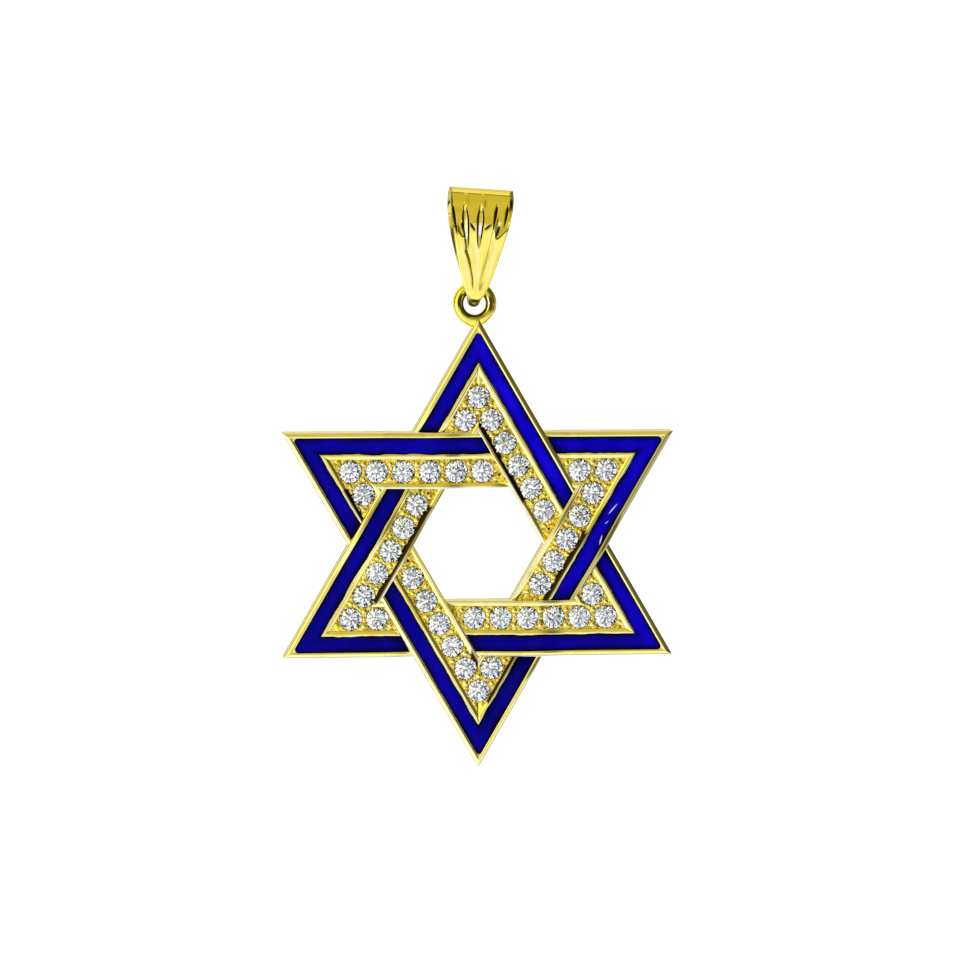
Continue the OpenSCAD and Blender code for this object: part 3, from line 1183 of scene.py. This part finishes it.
def station_half_w(facing, z):
    """Half width at a station: the front leaf is fuller over the ring than the back one."""
    if facing <= front_angle:
        return bail_half_w(z) + leaf_fullness * max(0, 1 - max(0, z) / fullness_reach) ** 2
    if facing < narrow_angle:
        fullest = bail_half_w(fold_out * math.cos(math.radians(front_angle))) + leaf_fullness
        share = (narrow_angle - facing) / (narrow_angle - front_angle)
        return foot_half + share ** 1.5 * (fullest - foot_half)
    return bail_half_w(z)


face_steps = 200
edge_steps = 6
lining_steps = 24
# The edges keep the leaf's rounding nearly down to the fold, and take the fold's own there.
# Under the fold, from an angle on, they are rounder still
round_onset = 6
under_angle = 110
under_reach = 40
# The right edge is rounder near the crest, from this share of the bail's height up
corner_from = 0.8
corner_reach = 0.12
corner_turn = 25


def rounded_off(x, half_w, rounding):
    """How far a rounded edge has fallen at a place across, and the share of the way round."""
    past = max(0, abs(x) - half_w + rounding) / rounding
    return rounding * (1 - math.sqrt(max(0, 1 - past * past))), past


def bail_mesh():
    mesh = bmesh.new()
    section = [(-1 + 2 * i / face_steps, "face", 0) for i in range(face_steps + 1)]
    section += [(1, "edge", (i + 1) / edge_steps) for i in range(edge_steps - 1)]
    section += [(1 - 2 * i / lining_steps, "lining", 0) for i in range(lining_steps + 1)]
    section += [(-1, "edge", 1 - (i + 1) / edge_steps) for i in range(edge_steps - 1)]
    groove = mesh.verts.layers.float.new("groove")
    painted_highlight = mesh.verts.layers.float.new("painted_highlight")
    rings = []
    for toward_fold, facing in bail_stations():
        middle_z = crest_z * (1 - toward_fold)
        radius = crest_out + toward_fold * (fold_out - crest_out)
        if facing == front_angle:
            radius += leaf_bulge * math.sin(math.pi * toward_fold)
        thick = leaf_t + toward_fold * (foot_t - leaf_t)
        turn = math.radians(facing)
        out = Vector((0, -math.sin(turn), math.cos(turn)))
        near_fold = toward_fold ** round_onset
        face_round = leaf_round + near_fold * (foot_round - leaf_round)
        if toward_fold == 1:
            under_share = smooth((facing - under_angle) / under_reach)
            face_round += (under_round - foot_round) * under_share
        lining_round = leaf_round + near_fold * (foot_lining_round - leaf_round)
        half_w = station_half_w(facing, middle_z + radius * out.z)
        ring = []
        height = (middle_z + radius * out.z + fold_out) / bail_h
        on_front = 0 < facing < 180
        turned_front = smooth(facing / corner_turn) * on_front
        near_crest = smooth((height - corner_from) / corner_reach)
        right_round = face_round + corner_round * near_crest * turned_front
        for q, side, down in section:
            # Painted shade under the fold and on the lining, and a painted highlight on the side edges
            dark = fold_shade(facing)
            highlight = float(side == "edge")
            rounding = right_round if q > 0 else face_round
            x = q * half_w
            if side == "face":
                sink, past = rounded_off(x, half_w, rounding)
                if on_front:
                    fluting, cut_dark, highlight = flute_sink(x, middle_z + radius * out.z, facing, half_w)
                    sink += fluting * (1 - past)
                    dark = max(dark, cut_dark)
            elif side == "edge":
                sink = rounding + down * (thick - lining_round - rounding)
            else:
                dark = max(dark, lining_shade)
                sink = thick - rounded_off(x, half_w, lining_round)[0]
            ring.append(mesh.verts.new(out * (radius - sink) + Vector((x, 0, middle_z))))
            ring[-1][groove] = dark
            ring[-1][painted_highlight] = highlight
        rings.append(ring)
    skin(mesh, rings + rings[:1])
    bmesh.ops.remove_doubles(mesh, verts=mesh.verts, dist=weld_reach)
    lean = Matrix.Rotation(math.radians(bail_lean), 4, "Y")
    place = Matrix.Scale(MM, 4) @ Matrix.Translation(swing_centre) @ lean
    return finished("fluted_bail", mesh, place)


bail = bail_mesh()
dress_gold(bail, "bail", finding_gold, "bail")

# The studio is a plain white sweep of paper under soft light from all round. The gold takes
# its warmth from a card over the camera and its dark streaks from flags beside it.
sweep_z = star_low.z - 0.02
sweep_r = 1.2
sweep_round = 0.3
sweep_steps = 12
sweep_top = 1.5


def paper_sweep():
    """A round white room of paper, with a coved floor, that only the camera sees."""
    mesh = bmesh.new()
    profile = [(0, sweep_z)]
    for i in range(sweep_steps + 1):
        a = math.radians(90 * i / sweep_steps)
        profile.append((
            sweep_r - sweep_round * (1 - math.sin(a)),
            sweep_z + sweep_round * (1 - math.cos(a)),
        ))
    profile += [(sweep_r, sweep_top), (0, sweep_top)]
    lathe(mesh, profile, Matrix.Identity(4), 64)
    for face in mesh.faces:
        face.material_index = 0
    sweep = finished("paper_sweep", mesh, Matrix.Identity(4))
    sweep.visible_diffuse = False
    sweep.visible_glossy = False
    sweep.visible_transmission = False
    sweep.visible_shadow = False
    material, start = new_material("white_paper")
    fibres = speckle(start, 60)
    shader = start.take("ShaderNodeBsdfPrincipled", 0, None, {
        "Base Color": fibres.tint((0.24, 0.24, 0.24), (0.26, 0.26, 0.26)),
        "Roughness": 0.9,
        "Emission Color": (1.0, 1.0, 1.0, 1.0),
        "Emission Strength": 0.95,
    })
    close_material(start, shader)
    sweep.data.materials.append(material)


paper_sweep()


def sparkle_tent():
    """A tent of white and dark panes, seen only by light that has passed through a stone."""
    mesh = bmesh.new()
    bmesh.ops.create_icosphere(mesh, subdivisions=4, radius=1)
    tent = finished("sparkle_tent", mesh, Matrix.Identity(4))
    tent.visible_camera = False
    tent.visible_diffuse = False
    tent.visible_glossy = False
    tent.visible_shadow = False
    material, start = new_material("tent_panes")
    panes = start.take("ShaderNodeTexVoronoi", "Color", None, {
        "Vector": start.take("ShaderNodeTexCoord", "Object"), "Scale": 4.5,
    })
    pick = start.take("ShaderNodeSeparateXYZ", 0, None, {0: panes})
    dark_to_blue = pick.between(0.22, 0.24).tint((0.01, 0.015, 0.03), (0.3, 0.36, 0.5))
    shader = start.take("ShaderNodeEmission", 0, None, {
        "Color": pick.between(0.36, 0.38).tint(dark_to_blue, (1.0, 1.0, 1.0)),
        "Strength": 1.3,
    })
    close_material(start, shader)
    tent.data.materials.append(material)


sparkle_tent()


card_colour = (1.0, 0.88, 0.3)
back_card_colour = (1.0, 0.93, 0.6)
# How much each card and flag dims the light, and how much the box on the left adds
card_dim = 0.42
back_card_dim = 0.22
behind_dim = 0.25
table_dim = 0.7
right_flag_dim = 0.77
side_flag_dim = 0.85
left_box_gain = 0.9


def studio_world():
    """White light all round, with cards and flags between limits of the room's directions."""
    world = bpy.data.worlds.new("studio")
    world.use_nodes = True
    world.node_tree.nodes.clear()
    start = Wire(world.node_tree)
    toward = start.take("ShaderNodeTexCoord", "Generated")
    parts = start.node("ShaderNodeSeparateXYZ", None, {0: toward})
    x, y, z = (Wire(start.tree, parts.outputs[i]) for i in range(3))
    front = (0 - y).between(0.0, 0.15)
    overhead = (0.36 - y).between(0.0, 0.1)
    card = overhead * z.between(-0.05, -0.03)
    behind = y.between(0.62, 0.75)
    back_card = (y - 0.36).between(0.0, 0.1) * z.between(0.1, 0.2)
    back_card = start.math("MAXIMUM", back_card, behind)
    bands = start.take("ShaderNodeTexNoise", 0, {"noise_dimensions": "1D"}, {"W": x, "Scale": 9.0})
    table_edge = front * z.between(-0.23, -0.21) * (1 - z.between(-0.18, -0.16))
    right_flag = x.between(0.26, 0.38) * (1 - x.between(0.93, 0.97))
    right_flag = right_flag * z.between(-0.42, -0.28) * (1 - z.between(0.8, 0.9))
    side_flag = y.between(-0.34, -0.28) * (1 - y.between(-0.02, 0.04)) * (1 - z.between(0.55, 0.75))
    left_box = (0 - x).between(0.35, 0.5) * (1 - z.between(0.6, 0.7)) * front
    cloud = start.take("ShaderNodeTexNoise", 0, None, {"Vector": toward, "Scale": 1.6})
    level = 0.95 + 0.3 * cloud + 0.2 * y.between(0.1, 0.4)
    level = level * (1 - card_dim * card) * (1 - back_card_dim * back_card)
    level = level * (1 - behind_dim * behind) + left_box_gain * left_box
    level = level * (0.72 + 0.56 * bands)
    level = level * (1 - table_dim * table_edge) * (1 - right_flag_dim * right_flag)
    level = level * (1 - side_flag_dim * side_flag)
    colour = back_card.tint(card.tint((1.0, 1.0, 1.0), card_colour), back_card_colour)
    light = start.take("ShaderNodeVectorMath", 0, {"operation": "SCALE"}, {0: colour, "Scale": level})
    shader = start.take("ShaderNodeBackground", 0, None, {"Color": light, "Strength": 1.0})
    start.node("ShaderNodeOutputWorld", None, {"Surface": shader})
    bpy.context.scene.world = world


studio_world()


def soft_light(name, place, aim, size, power):
    data = bpy.data.lights.new(name, "AREA")
    data.shape = "RECTANGLE"
    data.size, data.size_y = size
    data.energy = power
    lamp = bpy.data.objects.new(name, data)
    lamp.location = place
    lamp.rotation_euler = (Vector(aim) - Vector(place)).to_track_quat("-Z", "Y").to_euler()
    lamp.visible_glossy = False
    bpy.context.scene.collection.objects.link(lamp)


soft_light("top_box", (-0.05, -0.25, 0.45), star_middle, (0.3, 0.2), 0.25)
soft_light("left_box", (-0.5, -0.35, 0.1), star_middle, (0.2, 0.4), 0.25)

camera_azimuth = math.radians(-4.6)
camera_height = math.radians(5.5)
camera_distance = 0.3
camera_aim = Vector((0, 0, -0.02362))
aim_right = -0.07 * MM
aim_up = 0.973 * MM
camera_data = bpy.data.cameras.new("camera")
camera_data.sensor_width = 36
camera_data.lens = 141.3
camera = bpy.data.objects.new("camera", camera_data)
back = Vector((
    math.sin(camera_azimuth) * math.cos(camera_height),
    -math.cos(camera_azimuth) * math.cos(camera_height),
    math.sin(camera_height),
))
camera.rotation_euler = (-back).to_track_quat("-Z", "Y").to_euler()
rightward, upward, _ = camera.rotation_euler.to_matrix().transposed()
camera.location = camera_aim + back * camera_distance + rightward * aim_right + upward * aim_up
bpy.context.scene.collection.objects.link(camera)
bpy.context.scene.camera = camera
bpy.context.scene.view_settings.view_transform = "Standard"
